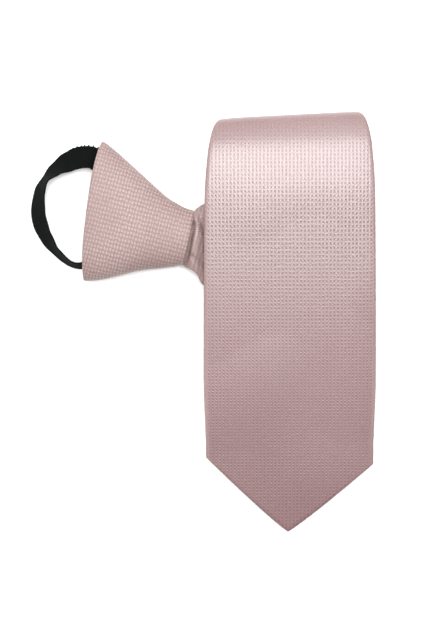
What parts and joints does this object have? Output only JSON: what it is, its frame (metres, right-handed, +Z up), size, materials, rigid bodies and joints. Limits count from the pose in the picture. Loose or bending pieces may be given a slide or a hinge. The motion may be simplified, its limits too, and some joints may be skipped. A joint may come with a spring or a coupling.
{
  "type": "zipper tie",
  "caption": "Pale pink pre-tied necktie with a hollow knot on a black zip neck loop, laid face up and folded over once behind its front blade.",
  "frame": {"origin": "on the surface that the tie lies on, under the middle of its outline", "axes": "+Z up from the surface to the face of the cloth, +Y from the point up the front blade to the roll, +X to the right of a viewer who looks down on the face"},
  "size_m": [0.1658, 0.2014, 0.021],
  "materials": {
    "pink_weave": "satin",
    "black_tape": "matte",
    "black_nylon": "satin",
    "dark_metal": "satin"
  },
  "bodies": {
    "root": {"tie_strip": "pink_weave", "knot_wrap": "pink_weave", "neck_loop": "black_tape", "loop_teeth": "black_nylon", "closed_zip": "black_tape", "zip_slider": "dark_metal"}
  },
  "joints": []
}
